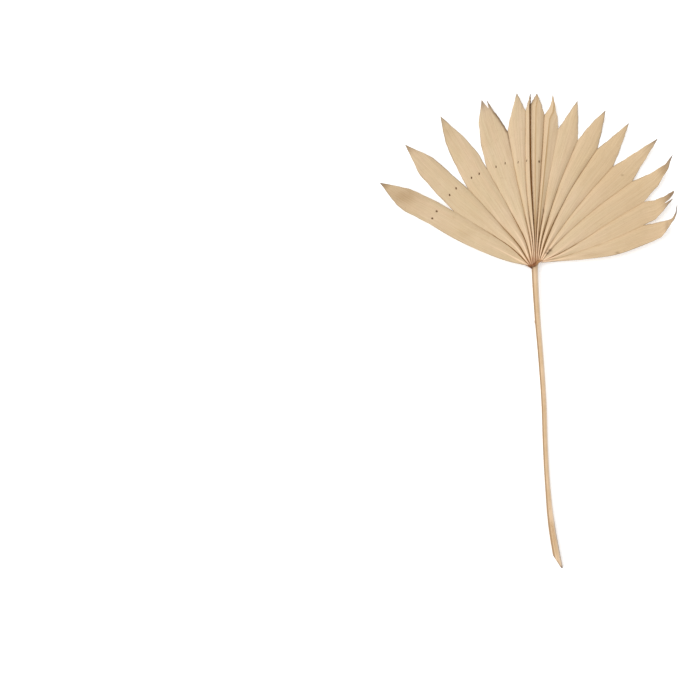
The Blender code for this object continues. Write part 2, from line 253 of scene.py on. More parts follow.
def edge_line(finger, side, along):
    """A cut edge in plan, from the notch to the tip, very slightly uneven as scissors leave it."""
    tip, corners = FINGERS[finger][0], FINGERS[finger][3 + side]
    if side and finger in SPLITS:
        tip = SPLITS[finger][0]
    path = [polar(*FOLDS[finger + side][2])] + [polar(*corner) for corner in corners + (tip,)]
    flat = straight_path(path, along)
    heading = np.gradient(flat, axis=0)
    heading /= np.linalg.norm(heading, axis=1)[:, None] + 1e-9
    waver = 0.16 * np.sin(19.0 * along + 2.3 * finger + side) + 0.09 * np.sin(47.0 * along + finger)
    waver *= np.minimum(1.0, 6.0 * along * (1.0 - along) + 0.02)
    return flat + waver[:, None] * np.column_stack((-heading[:, 1], heading[:, 0]))


def shadow_streak(index, place, gaps, rib_gap, reach):
    """How much painted shade lies on a finger's shaded flank or along its midrib groove at this point."""
    near = 1.0 - float(ease((reach - 40.0) / 26.0))
    if index == 6:
        return max(0.85 * math.exp(-(rib_gap / 0.6) ** 2), 0.75 * near)
    if place <= 0:
        return 0.0
    if index == 5:
        return 1.6 * float(ease(place / 0.2))
    if index == 7:
        return 0.85 * math.exp(-((rib_gap - 1.0) / 1.1) ** 2)
    strength, width = PAINTED_SHADE_FLANKS.get(index, (0.0, 1.0))
    return strength * near * math.exp(-(gaps[1] / width) ** 2)


class Finger:
    """One finger from the crest to its tip: its edges, its midrib and the pleated surface between."""

    def __init__(self, index):
        self.index = index
        joined = (np.arange(ROWS_JOINED + 1) / ROWS_JOINED) ** 1.12
        free = np.arange(1, ROWS_FREE + 1) / ROWS_FREE
        self.along = np.concatenate((joined, 1.0 + free))
        self.notch = len(joined)            # the first row past the notches
        self.last_row, self.last_column = len(self.along) - 1, 2 * HALF_COLUMNS
        self.left, self.right = (self.edge(side, joined, free) for side in (0, 1))
        self.middle = self.midrib(joined, free)
        width = np.linalg.norm(self.right[:, :2] - self.left[:, :2], axis=1)
        self.narrowing = np.minimum(width / width[self.notch - 1], 1.0)
        self.lift_edges()
        self.fill()
        # where the tip parts in two; a whole tip never does
        self.cut_row, self.cut_column = self.last_row, self.last_column
        if index in SPLITS:
            _, start, column, _ = SPLITS[index]
            self.cut_row = self.notch + int(start * ROWS_FREE) - 1
            self.cut_column = int(round(column * self.last_column))

    def edge(self, side, joined, free):
        """The left or right edge: a fold up to its notch, then a cut edge whose height comes later."""
        line = np.zeros((len(self.along), 3))
        line[:self.notch] = fold_line(self.index + side, joined)
        line[self.notch:, :2] = edge_line(self.index, side, free)
        return line

    def midrib(self, joined, free):
        near, far = MIDRIB_SHARES.get(self.index, (0.5, 0.5))
        share = near + (far - near) * ease(np.minimum(self.along, 1.0) / 0.55)
        share = share + (0.5 - share) * ease(self.along - 1.0)
        line = self.left + (self.right - self.left) * share[:, None]
        line[:self.notch, 2] += pleat_depth(self.index, joined)
        tip_lift, depth = FINGERS[self.index][1], PLEATS[self.index][1]
        line[self.notch:, 2] = line[self.notch - 1, 2] + tip_lift * free**2 - depth / 2 * free
        return line

    def lift_edges(self):
        """Past the notches the cut edges rise to the midrib as the finger narrows."""
        crown = self.middle[self.notch - 1, 2]
        for edge in (self.left, self.right):
            fall = crown - edge[self.notch - 1, 2]
            height = self.middle[self.notch:, 2] - fall * self.narrowing[self.notch:]
            edge[self.notch:, 2] = np.maximum(height, BLADE_THICKNESS / 2)

    def fill(self):
        """The surface between the edges, and how far each of its points is from them and the midrib."""
        half = np.arange(HALF_COLUMNS + 1) / HALF_COLUMNS
        half = 0.55 * half + 0.45 * ease(half)
        full = FULLNESS.get(self.index, (EVEN_FULLNESS, EVEN_FULLNESS))
        self.grid = np.zeros((self.last_row + 1, self.last_column + 1, 3))
        self.place = np.zeros(self.grid.shape[:2])
        for column in range(self.last_column + 1):
            side = int(column > HALF_COLUMNS)
            u = half[self.last_column - column] if side else half[column]
            edge = self.right if side else self.left
            fullness = 1.15 + (full[side] - 1.15) * ease((np.minimum(self.along, 1.0) - 0.05) / 0.5)
            rise = 1.0 - (1.0 - u) ** fullness
            self.grid[:, column, :2] = edge[:, :2] + (self.middle - edge)[:, :2] * u
            self.grid[:, column, 2] = edge[:, 2] + (self.middle - edge)[:, 2] * rise
            self.place[:, column] = (1.0 - u) if side else (u - 1.0)
        self.gaps = [np.linalg.norm(self.grid[:, :, :2] - line[:, None, :2], axis=2)
                     for line in (self.left, self.right, self.middle)]
        # veins run from the crest outwards and are cut off by the finger's edges
        steps = np.linalg.norm(np.diff(self.middle[:, :2], axis=0), axis=1)
        length = np.concatenate(([0.0], np.cumsum(steps)))
        across = self.index * 4.0 + self.place * self.narrowing[:, None]
        self.veins = np.stack((across, length[:, None] / 100.0 + np.zeros_like(across)), axis=2)

    def parted(self, row, column):
        """A point past the start of a split, on one of the tip's two parts."""
        first = column <= self.cut_column
        edge = self.left if first else self.right
        base, tip = self.grid[self.cut_row, self.cut_column, :2], edge[-1, :2]
        share = (row - self.cut_row) / (self.last_row - self.cut_row)
        slit = base + (tip - base) * share
        if first:
            way = (tip - base) / np.linalg.norm(tip - base)
            swell = SPLITS[self.index][3] * float(ease(share / 0.45)) * (1.0 - share**12)
            slit = slit + swell * np.array((way[1], -way[0]))
            span = column / self.cut_column
        else:
            span = (self.last_column - column) / (self.last_column - self.cut_column)
        point = self.grid[row, column].copy()
        point[:2] = edge[row, :2] + (slit - edge[row, :2]) * span
        return point

    def marks(self, row, column, point):
        """What the finish needs to know of a point."""
        index, outer, place = self.index, row >= self.notch, self.place[row, column]
        *gaps, rib_gap = (gap[row, column] for gap in self.gaps)
        notches = [math.dist(point[:2], line[self.notch - 1, :2]) for line in (self.left, self.right)]
        fold, edge = (notches, list(gaps)) if outer else (list(gaps), notches)
        # the blade's own two side edges aren't folds
        for side, outermost in ((0, 0), (1, len(FINGERS) - 1)):
            if index == outermost:
                fold[side], edge[side] = 40.0, gaps[side]
        reach = math.hypot(point[0], point[1])
        near, far = FOLD_SHADES[index + (gaps[1] < gaps[0])]
        margin = 0.0
        if index == 3:
            # its right margin gets painted shade, from the notch down a little way
            fade = 1.0 if outer else float(ease((reach - 112.0) / 32.0))
            margin = 0.75 * fade * math.exp(-(gaps[1] / (2.2 if outer else 1.5)) ** 4)
        # the tips weather to grey brown, most of all on the right
        towards_tip = max(0.0, self.along[row] - 1.0)
        right_side = min(1.0, max(0.0, (index - 9.5) / 3.0))
        weathered = right_side * float(ease((towards_tip - 0.5) / 0.5))
        weathered += 0.5 * max(0.0, towards_tip - 0.84) / 0.16
        if index in (3, 5):
            weathered += 0.7 * max(0.0, towards_tip - 0.75) / 0.25
        return {
            "fold_gap": min(fold), "edge_gap": min(edge), "rib_gap": rib_gap, "reach": reach,
            "fold_shade": near + (far - near) * float(ease((reach - 45.0) / 30.0)),
            "painted_shade_and_stain_tint": shadow_streak(index, place, gaps, rib_gap, reach), "stain_and_margin_shade": margin,
            "lane": abs(place) * (self.narrowing[row] if outer else 1.0),
            "finger_tone": FINGER_TONES[index], "weathered": min(weathered, 1.0),
        }


class LeafSheet:
    """Collects the blade's grid: points, faces, and what the finish needs to know of each point."""

    MARKS = ("fold_gap", "fold_shade", "edge_gap", "rib_gap", "reach", "lane", "finger_tone", "stain_and_margin_shade",
             "painted_shade_and_stain_tint", "weathered")

    def __init__(self):
        self.points = []
        self.marks = {name: [] for name in self.MARKS}
        self.faces = []
        self.lines = []
        self.folds = {}

    def add(self, finger, row, column):
        """Adds a finger's point and returns its number."""
        point = finger.parted(row, column) if row > finger.cut_row else finger.grid[row, column]
        marks = finger.marks(row, column, point)
        self.points.append(point)
        for name in self.MARKS:
            self.marks[name].append(marks[name])
        return len(self.points) - 1

    def join(self, finger):
        """Adds a finger, joined to the finger before it along their fold."""
        columns = []
        for column in range(finger.last_column + 1):
            # the columns of a tip all end in the point that its first column adds
            owner = 0 if column <= finger.cut_column else finger.cut_column + 1
            line = []
            for row in range(finger.last_row + 1):
                if column in (0, finger.last_column) and row < finger.notch:
                    fold = (finger.index + (column > 0), row)
                    if fold not in self.folds:
                        self.folds[fold] = self.add(finger, row, column)
                    line.append(self.folds[fold])
                elif row == finger.last_row and column != owner:
                    line.append(columns[owner][-1])
                else:
                    line.append(self.add(finger, row, column))
            columns.append(line)
        for number in range(finger.last_column):
            split = number == finger.cut_column
            for row in range(finger.cut_row if split else finger.last_row):
                self.face(finger, columns, ((row, number), (row, number + 1), (row + 1, number + 1),
                                            (row + 1, number)))
            if split:
                # the split's right side starts from the same point as its left side
                row = finger.cut_row
                self.face(finger, columns, ((row, number), (row, number + 1), (row + 1, number + 1)))

    def face(self, finger, columns, spots):
        """A face on places of the grid, without the corners that fall together."""
        corners = {}
        for row, column in spots:
            corners.setdefault(columns[column][row], tuple(finger.veins[row, column]))
        if len(corners) > 2:
            self.faces.append(list(corners))
            self.lines.append(list(corners.values()))

    def pricks(self, places, across, along, depth):
        """Small oval pricks: the ring round a grid point closes in to the oval, the point sinks."""
        points = np.array(self.points)
        users = {}
        for face in self.faces:
            for corner in face:
                users.setdefault(corner, []).append(face)
        for direction, distance in places:
            centre = polar(direction, distance)
            order = np.argsort(np.linalg.norm(points[:, :2] - centre, axis=1))
            middle = next(int(v) for v in order[:12] if len(users[int(v)]) == 4)
            ring = {corner for face in users[middle] for corner in face} - {middle}
            beyond = {corner for v in ring for face in users[v] for corner in face} - ring - {middle}
            room = min(math.dist(points[corner, :2], centre) for corner in beyond)
            outward = centre / np.linalg.norm(centre)
            sideways = np.array((-outward[1], outward[0]))
            wide = min(across, 0.85 * room)
            for corner in ring:
                away = points[corner, :2] - points[middle, :2]
                angle = math.atan2(away @ outward, away @ sideways)
                flat = centre + sideways * wide * math.cos(angle) + outward * along * math.sin(angle)
                points[corner, :2] = flat
            points[middle, :2] = centre
            points[middle, 2] -= depth
        self.points = list(points)
        self.spread_stains(places)

    def spread_stains(self, places):
        """How dark each point is from stains, from the pricks and from the painted margin shade, and the
        broad stains' warm tint.
        """
        points = np.array(self.points)[:, :2]
        stain_and_margin_shade = np.array(self.marks["stain_and_margin_shade"], float)
        warm = np.array(self.marks["painted_shade_and_stain_tint"], float)
        for across, along, wide, high, strength in STAINS:
            away = ((points[:, 0] - across) / wide) ** 2 + ((points[:, 1] - along) / high) ** 2
            broad = min(wide, high) > 2.5
            stain_and_margin_shade = np.maximum(stain_and_margin_shade, (0.35 if broad else 1.0) * strength * np.exp(-away))
            warm = np.maximum(warm, (0.65 if broad else 0.0) * strength * np.exp(-away))
        for direction, distance in places:
            away = np.linalg.norm(points - polar(direction, distance), axis=1)
            stain_and_margin_shade = np.where(away < 0.1, PRICK_DARKNESS, stain_and_margin_shade)
        self.marks["stain_and_margin_shade"] = list(stain_and_margin_shade)
        self.marks["painted_shade_and_stain_tint"] = list(warm)

    def mesh(self, name):
        """The sheet as a mesh in metres round the hub, with its marks and its vein lines."""
        mesh = bpy.data.meshes.new(name)
        used = sorted({corner for face in self.faces for corner in face})
        place = {corner: number for number, corner in enumerate(used)}
        points = [in_metres(self.points[corner]) for corner in used]
        mesh.from_pydata(points, [], [[place[corner] for corner in face] for face in self.faces])
        lines = mesh.uv_layers.new(name="vein_lines")
        lines.data.foreach_set("uv", [value for face in self.lines for spot in face for value in spot])
        for mark in self.MARKS:
            values = mesh.attributes.new(mark, "FLOAT", "POINT")
            values.data.foreach_set("value", [float(self.marks[mark][corner]) for corner in used])
        mesh.update()
        return mesh


# ---- node helpers ----------------------------------------------------------------------

def put(tree, kind, inputs=None, **settings):
    """A node with its settings, and its inputs linked or set by name or number."""
    node = tree.nodes.new(kind)
    for name, value in settings.items():
        setattr(node, name, value)
    for name, value in (inputs or {}).items():
        socket = node.inputs[name]
        if isinstance(value, bpy.types.NodeSocket):
            tree.links.new(value, socket)
        else:
            socket.default_value = value
    return node


def sums(tree, operation, *values, clamp=False):
    return put(tree, "ShaderNodeMath", dict(enumerate(values)), operation=operation,
               use_clamp=clamp).outputs[0]


def times(tree, first, second, clamp=False):
    return sums(tree, "MULTIPLY", first, second, clamp=clamp)


def plus(tree, first, second, clamp=False):
    return sums(tree, "ADD", first, second, clamp=clamp)


def joint(tree, **parts):
    """A place put together from its X, Y and Z."""
    return put(tree, "ShaderNodeCombineXYZ", parts).outputs[0]


def stretched(tree, place, factors):
    """A place with each of its axes multiplied."""
    return put(tree, "ShaderNodeVectorMath", {0: place, 1: factors}, operation="MULTIPLY").outputs[0]


def spread(tree, value, low, high, to_low=0.0, to_high=1.0):
    """Turns the stretch from low to high into the one from to_low to to_high, with soft ends."""
    node = put(tree, "ShaderNodeMapRange", {"Value": value, "From Min": low, "From Max": high,
                                            "To Min": to_low, "To Max": to_high},
               interpolation_type="SMOOTHSTEP")
    return node.outputs["Result"]


def noise(tree, place, scale, detail=3.0, roughness=0.55, distortion=0.0):
    node = put(tree, "ShaderNodeTexNoise", {"Vector": place, "Scale": scale, "Detail": detail,
                                            "Roughness": roughness, "Distortion": distortion})
    return node.outputs["Fac"]


def blend(tree, amount, first, second):
    """Mixes two colours."""
    node = put(tree, "ShaderNodeMix", data_type="RGBA")
    for number, value in ((0, amount), (6, first), (7, second)):
        if isinstance(value, bpy.types.NodeSocket):
            tree.links.new(value, node.inputs[number])
        else:
            node.inputs[number].default_value = (*value, 1.0)
    return node.outputs[2]


def painted(tree, colour, *layers):
    """Lays colours over one another, each given as its mask, its strength and its colour."""
    for mask, strength, paint in layers:
        colour = blend(tree, times(tree, mask, strength), colour, paint)
    return colour


def new_group(name, kind, inputs, outputs):
    """A node group; a number given for an input is its default, a word is its socket's type."""
    tree = bpy.data.node_groups.new(name, kind)
    numbers = {float: "NodeSocketFloat", int: "NodeSocketInt"}
    for direction, sockets in (("INPUT", inputs), ("OUTPUT", outputs)):
        for label, value in sockets.items():
            socket = tree.interface.new_socket(name=label, in_out=direction,
                                               socket_type=numbers.get(type(value), value))
            if type(value) in numbers:
                socket.default_value = value
    return tree, tree.nodes.new("NodeGroupInput").outputs, tree.nodes.new("NodeGroupOutput").inputs


# ---- shared effects --------------------------------------------------------------------

def made_once(maker):
    """A shared effect is made when it is first wanted, and found by its name after that."""
    return lambda: bpy.data.node_groups.get(maker.__name__) or maker()


@made_once
def fibre_streaks():
    """Fine uneven lines that run along a fibre: x across them, y along."""
    tree, given, result = new_group("fibre_streaks", "ShaderNodeTree",
                                    {"Place": "NodeSocketVector", "Across": 30.0, "Along": 2.0},
                                    {"Streaks": "NodeSocketFloat", "Height": "NodeSocketFloat"})
    place = stretched(tree, given["Place"], joint(tree, X=given["Across"], Y=given["Along"], Z=1.0))
    broad = noise(tree, place, 1.0, 3.0, 0.6)
    fine = noise(tree, stretched(tree, place, (3.3, 1.6, 1.0)), 1.0, 2.0, 0.7)
    both = plus(tree, times(tree, broad, 0.6), times(tree, fine, 0.4))
    tree.links.new(spread(tree, both, 0.38, 0.64), result["Streaks"])
    tree.links.new(both, result["Height"])
    return tree


@made_once
def age_mottling():
    """Soft uneven patches of age, with smaller flecks in them."""
    tree, given, result = new_group("age_mottling", "ShaderNodeTree",
                                    {"Place": "NodeSocketVector", "Scale": 20.0},
                                    {"Patches": "NodeSocketFloat", "Flecks": "NodeSocketFloat"})
    patches = noise(tree, given["Place"], given["Scale"], 5.0, 0.62, 0.4)
    flecks = noise(tree, given["Place"], times(tree, given["Scale"], 11.0), 4.0, 0.7)
    tree.links.new(spread(tree, patches, 0.34, 0.66), result["Patches"])
    tree.links.new(spread(tree, flecks, 0.60, 0.74), result["Flecks"])
    return tree


@made_once
def rim_browning():
    """A brown rim that fades away from an edge or a fold, broken up unevenly."""
    tree, given, result = new_group("rim_browning", "ShaderNodeTree",
                                    {"Gap": 0.0, "Width": 1.0, "Breakup": 0.5}, {"Rim": "NodeSocketFloat"})
    reach = times(tree, given["Width"], plus(tree, times(tree, given["Breakup"], 1.4), 0.3))
    share = sums(tree, "DIVIDE", given["Gap"], reach)
    tree.links.new(spread(tree, share, 0.0, 1.0, 1.0, 0.0), result["Rim"])
    return tree


def grouped(tree, group, **inputs):
    """A shared effect's outputs, with its inputs linked or set."""
    return put(tree, "ShaderNodeGroup", {name.title(): value for name, value in inputs.items()},
               node_tree=group).outputs


def attribute(tree, name):
    return put(tree, "ShaderNodeAttribute", attribute_name=name, attribute_type="GEOMETRY").outputs["Fac"]


def rim(tree, gap, width, breakup=0.5):
    """How brown the rim is along what a mark gives the gap to."""
    return grouped(tree, rim_browning(), gap=attribute(tree, gap), width=width, breakup=breakup)["Rim"]


# ---- finishes --------------------------------------------------------------------------

def new_material(name, roughness, specular=0.35):
    material = bpy.data.materials.new(name)
    material.use_nodes = True
    tree = material.node_tree
    shader = tree.nodes["Principled BSDF"]
    shader.inputs["Roughness"].default_value = roughness
    shader.inputs["Metallic"].default_value = 0.0
    shader.inputs["Specular IOR Level"].default_value = specular
    return material, tree, shader


def roughen(tree, shader, height, strength, distance):
    """Fine relief from a height."""
    bump = put(tree, "ShaderNodeBump", {"Height": height, "Strength": strength, "Distance": distance})
    tree.links.new(bump.outputs[0], shader.inputs["Normal"])


def finish_blade(look):
    """The dry blade: pale tan with fine veins, old stains, browned edges and tips, folds partly brown and
    partly painted crease shade, painted shade on flanks and midribs, painted highlights on ridges.
    """
    material, tree, shader = new_material("dry_blade", 0.62)
    place = put(tree, "ShaderNodeTexCoord").outputs["Object"]
    lines = put(tree, "ShaderNodeUVMap", uv_map="vein_lines").outputs[0]
    veins = grouped(tree, fibre_streaks(), place=lines, across=17.0, along=2.2)
    hairlines = grouped(tree, fibre_streaks(), place=lines, across=46.0, along=5.0)
    bands = grouped(tree, fibre_streaks(), place=lines, across=2.6, along=1.3)["Streaks"]
    age = grouped(tree, age_mottling(), place=place, scale=19.0)
    broad_age = grouped(tree, age_mottling(), place=place, scale=7.0)
    reach = attribute(tree, "reach")
    near = spread(tree, reach, 8.0, 62.0, 1.0, 0.0)

    sides = put(tree, "ShaderNodeSeparateXYZ", {0: place}).outputs[0]
    to_right = times(tree, spread(tree, sides, HUB[0] - 0.02, HUB[0] + 0.10),
                     spread(tree, reach, 55.0, 125.0, 0.1, 0.55))
    colour = blend(tree, age["Patches"], look.pale, look.straw)
    colour = painted(tree, colour, (broad_age["Patches"], 0.6, look.rosy), (bands, 0.5, look.olive),
                     (to_right, 1.0, look.warm), (attribute(tree, "finger_tone"), 0.35, look.warm),
                     (veins["Streaks"], 0.20, look.brown), (hairlines["Streaks"], 0.17, look.brown),
                     (age["Flecks"], 0.22, look.brown))

    # the folds are darkened, partly their own brown and partly painted crease shade, near the hub across most
    # of their width and less raggedly
    ragged = plus(tree, times(tree, veins["Streaks"], spread(tree, reach, 20.0, 50.0, 0.3, 1.0)),
                  spread(tree, reach, 20.0, 50.0, 0.35, 0.0))
    fold = rim(tree, "fold_gap", spread(tree, reach, 12.0, 70.0, 1.05, 1.2), ragged)
    shade = times(tree, attribute(tree, "fold_shade"), plus(tree, times(tree, near, 1.1), 0.55))
    # a painted highlight on the ridges near the crest, partly their paler wear
    ridge = times(tree, rim(tree, "rib_gap", 1.3), near)
    colour = painted(tree, colour, (fold, shade, look.fold), (rim(tree, "rib_gap", 0.8), 0.22, look.pale),
                     (ridge, 0.9, look.ridge))

    # painted shade on the shaded flanks and midrib grooves, deepest near the hub, and the broad stains' warm
    # tint
    painted_shade_and_stain_tint = attribute(tree, "painted_shade_and_stain_tint")
    streak = times(tree, painted_shade_and_stain_tint, plus(tree, times(tree, veins["Streaks"], 0.4), 0.65), clamp=True)
    deep = plus(tree, times(tree, near, 0.7), spread(tree, painted_shade_and_stain_tint, 1.0, 1.6), clamp=True)
    colour = blend(tree, streak, colour, blend(tree, deep, look.painted_shade_and_stain_tint, look.fold))
    crown = times(tree, spread(tree, reach, 3.0, 13.0, 1.0, 0.0),
                  plus(tree, times(tree, veins["Streaks"], 0.45), 0.35), clamp=True)
    blotch = plus(tree, times(tree, age["Patches"], 0.5), 0.7)
    edge = times(tree, rim(tree, "edge_gap", 0.9, age["Patches"]), 0.55)
    colour = blend(tree, crown, colour, look.crown)
    colour = blend(tree, edge, colour, look.weathered)
    for name, paint in (("stain_and_margin_shade", look.stain_and_margin_shade), ("weathered", look.weathered)):
        colour = blend(tree, times(tree, attribute(tree, name), blotch, clamp=True), colour, paint)
    tree.links.new(colour, shader.inputs["Base Color"])

    tree.links.new(spread(tree, veins["Streaks"], 0.0, 1.0, 0.54, 0.72), shader.inputs["Roughness"])
    height = plus(tree, veins["Height"], times(tree, hairlines["Height"], 0.5))
    roughen(tree, shader, plus(tree, height, times(tree, age["Flecks"], 0.15)), 0.55, 0.0004)
    return material


def finish_stem(look):
    """The dry stem: pale straw along its top, browner at its left margin and at its cut end."""
    material, tree, shader = new_material("dry_stem", 0.5)
    place = put(tree, "ShaderNodeTexCoord").outputs["Object"]
    down = attribute(tree, "stem_length")
    line = joint(tree, X=attribute(tree, "stem_turn"), Y=down, Z=0.0)
    grain = grouped(tree, fibre_streaks(), place=line, across=26.0, along=14.0)
    fine = grouped(tree, fibre_streaks(), place=line, across=70.0, along=40.0)
    age = grouped(tree, age_mottling(), place=place, scale=34.0)
    left, right = attribute(tree, "stem_left"), attribute(tree, "stem_right")

    colour = blend(tree, age["Patches"], look.pale, look.straw)
    # the grey along the right margin is a painted highlight
    colour = painted(tree, colour, (left, 0.85, look.margin), (right, 0.8, look.grey),
                     (grain["Streaks"], 0.28, look.margin), (fine["Streaks"], 0.15, look.margin),
                     (age["Flecks"], 0.45, look.brown))
    colour = blend(tree, spread(tree, down, 0.0, 0.03, 0.5, 0.0), colour, look.margin)

    # low down its right rim is brown, and its top has reddish specks between the two margins
    right_rim = times(tree, spread(tree, right, 0.93, 1.0), spread(tree, down, 0.27, 0.29, 0.0, 0.6))
    colour = blend(tree, right_rim, colour, look.margin)
    low_down = times(tree, spread(tree, down, 0.279, 0.288), spread(tree, down, 0.300, 0.310, 1.0, 0.0))
    specks = times(tree, low_down, spread(tree, noise(tree, place, 800.0, 2.0), 0.50, 0.58))
    between = sums(tree, "SUBTRACT", 1.0, plus(tree, left, times(tree, right, 2.0), clamp=True))
    cut = rim(tree, "cut_gap", 1.0, grain["Streaks"])
    colour = painted(tree, colour, (times(tree, specks, between), 0.36, look.red), (cut, 0.5, look.brown))
    colour = blend(tree, spread(tree, attribute(tree, "tip_gap"), 0.5, 3.5, 0.75, 0.0), colour, look.brown)
    tree.links.new(colour, shader.inputs["Base Color"])
    tree.links.new(spread(tree, grain["Streaks"], 0.0, 1.0, 0.42, 0.6), shader.inputs["Roughness"])
    roughen(tree, shader, plus(tree, grain["Height"], times(tree, fine["Height"], 0.5)), 0.6, 0.0004)
    return material


def finish_crest(look):
    """The crest: reddish brown, matted, with lighter dry fibres."""
    material, tree, shader = new_material("crest_fibre", 0.78, 0.25)
    place = put(tree, "ShaderNodeTexCoord").outputs["Object"]
    age = grouped(tree, age_mottling(), place=place, scale=160.0)
    coarse = grouped(tree, age_mottling(), place=place, scale=60.0)
    grain = grouped(tree, fibre_streaks(), place=place, across=900.0, along=260.0)
    colour = blend(tree, coarse["Patches"], look.brown, look.red)
    colour = painted(tree, colour, (age["Patches"], 0.45, look.dry), (grain["Streaks"], 0.5, look.brown))
    # darkest at its middle, paler to the right, where it runs out over the folds
    sides = put(tree, "ShaderNodeSeparateXYZ", {0: place}).outputs[0]
    right = spread(tree, sides, HUB[0] + 0.5 * MM, HUB[0] + 5.0 * MM, 0.0, 0.7)
    colour = blend(tree, right, colour, look.dry)
    middle = Vector((HUB[0] + 0.6 * MM, HUB[1] - 0.2 * MM, CREST_HIGH.z))
    away = put(tree, "ShaderNodeVectorMath", {0: place, 1: middle}, operation="DISTANCE").outputs["Value"]
    colour = blend(tree, spread(tree, away, 0.7 * MM, 2.3 * MM, 0.9, 0.0), colour, look.core)
    tree.links.new(colour, shader.inputs["Base Color"])
    roughen(tree, shader, grain["Height"], 0.7, 0.0005)
    return material


# ---- geometry nodes --------------------------------------------------------------------

def spelt(key):
    """A socket's name as the trees spell it."""
    return key.replace("_", " ").title()


def grower(name, **measures):
    """A geometry tree that takes geometry, some measures and a finish."""
    inputs = {"Geometry": "NodeSocketGeometry"}
    inputs.update({spelt(key): value for key, value in measures.items()})
    inputs["Finish"] = "NodeSocketMaterial"
    return new_group(name, "GeometryNodeTree", inputs, {"Geometry": "NodeSocketGeometry"})


def closing(tree, given, result, geometry):
    """Ends a tree: instances are made real and the finish is set."""
    real = put(tree, "GeometryNodeRealizeInstances", {0: geometry}).outputs[0]
    done = put(tree, "GeometryNodeSetMaterial", {"Geometry": real, "Material": given["Finish"]}).outputs[0]
    tree.links.new(done, result[0])
    return tree


def named(tree, name):
    return put(tree, "GeometryNodeInputNamedAttribute", {"Name": name}, data_type="FLOAT").outputs[0]


def stored(tree, geometry, name, value):
    """Keeps a value on the points under a name."""
    return put(tree, "GeometryNodeStoreNamedAttribute", {"Geometry": geometry, "Name": name, "Value": value},
               data_type="FLOAT", domain="POINT").outputs[0]


def moved(tree, geometry, offset):
    return put(tree, "GeometryNodeSetPosition", {"Geometry": geometry, "Offset": offset}).outputs[0]


def resampled(tree, line, count):
    return put(tree, "GeometryNodeResampleCurve", {"Curve": line, "Count": count}).outputs[0]


def circle(tree, sides, radius):
    return put(tree, "GeometryNodeCurvePrimitiveCircle", {"Resolution": sides, "Radius": radius},
               mode="RADIUS").outputs[0]


def swept(tree, line, ring):
    """A closed ring swept along a line, as wide at each point as the line's radius says."""
    radius = put(tree, "GeometryNodeInputRadius").outputs[0]
    return put(tree, "GeometryNodeCurveToMesh", {"Curve": line, "Profile Curve": ring, "Scale": radius,
                                                 "Fill Caps": True}).outputs[0]


def uneven(tree, given, place, scale, detail, height):
    """Noise round zero with this height, from the tree's seed."""
    raw = put(tree, "ShaderNodeTexNoise", {"Vector": place, "Scale": scale, "Detail": detail,
                                           "W": given["Seed"]}, noise_dimensions="4D").outputs["Fac"]
    return times(tree, sums(tree, "SUBTRACT", raw, 0.5), height)


def along_normal(tree, depth):
    normal = put(tree, "GeometryNodeInputNormal").outputs[0]
    return put(tree, "ShaderNodeVectorMath", {0: normal, "Scale": depth}, operation="SCALE").outputs[0]


def leaf_relief():
    """Raises secondary veins and soft ripples on the blade's sheet."""
    tree, given, result = grower("leaf_relief", ripple_height=0.0003, ripple_size=0.012,
                                 vein_height=0.00008, veins=2.5, seed=5)
    place = put(tree, "GeometryNodeInputPosition").outputs[0]
    scale = sums(tree, "DIVIDE", 1.0, given["Ripple Size"])
    ripple = uneven(tree, given, place, scale, 2.0, given["Ripple Height"])
    turns = times(tree, times(tree, named(tree, "lane"), given["Veins"]), math.tau)
    free = sums(tree, "DIVIDE", named(tree, "fold_gap"), 3.0, clamp=True)
    wave = times(tree, times(tree, sums(tree, "SINE", turns), given["Vein Height"]), free)
    raised = moved(tree, given["Geometry"], joint(tree, Z=plus(tree, ripple, wave)))
    return closing(tree, given, result, raised)


def stem_sweep():
    """Sweeps a flat-topped, round-bottomed section along the stem's line, with long grooves."""
    tree, given, result = grower("stem_sweep", width=0.0062, rise=0.0021, depth=0.003, sides=44, rings=280,
                                 groove_depth=0.00025, grooves=15.0, seed=2)
    along = put(tree, "GeometryNodeSplineParameter").outputs
    line = stored(tree, resampled(tree, given["Geometry"], given["Rings"]), "stem_length", along["Length"])
    ring = stored(tree, circle(tree, given["Sides"], 1.0), "stem_turn", along["Factor"])
    parts = put(tree, "ShaderNodeSeparateXYZ", {0: put(tree, "GeometryNodeInputPosition").outputs[0]}).outputs
    # the sweep turns the section half round, so it is drawn upside down here
    for name, sign in (("stem_left", 1.0), ("stem_right", -1.0)):
        ring = stored(tree, ring, name, spread(tree, times(tree, parts[0], sign), 0.35, 0.80))
    across = times(tree, parts[0], times(tree, given["Width"], 0.5))
    up = times(tree, parts[1], -1.0)
    top = times(tree, sums(tree, "POWER", sums(tree, "MAXIMUM", up, 0.0), 0.6), given["Rise"])
    under = times(tree, sums(tree, "MINIMUM", up, 0.0), given["Depth"])
    section = joint(tree, X=across, Y=times(tree, plus(tree, top, under), -1.0))
    ring = put(tree, "GeometryNodeSetPosition", {"Geometry": ring, "Position": section}).outputs[0]
    place = joint(tree, X=times(tree, named(tree, "stem_turn"), given["Grooves"]),
                  Y=times(tree, named(tree, "stem_length"), 9.0))
    depth = uneven(tree, given, place, 1.0, 3.0, given["Groove Depth"])
    return closing(tree, given, result, moved(tree, swept(tree, line, ring), along_normal(tree, depth)))


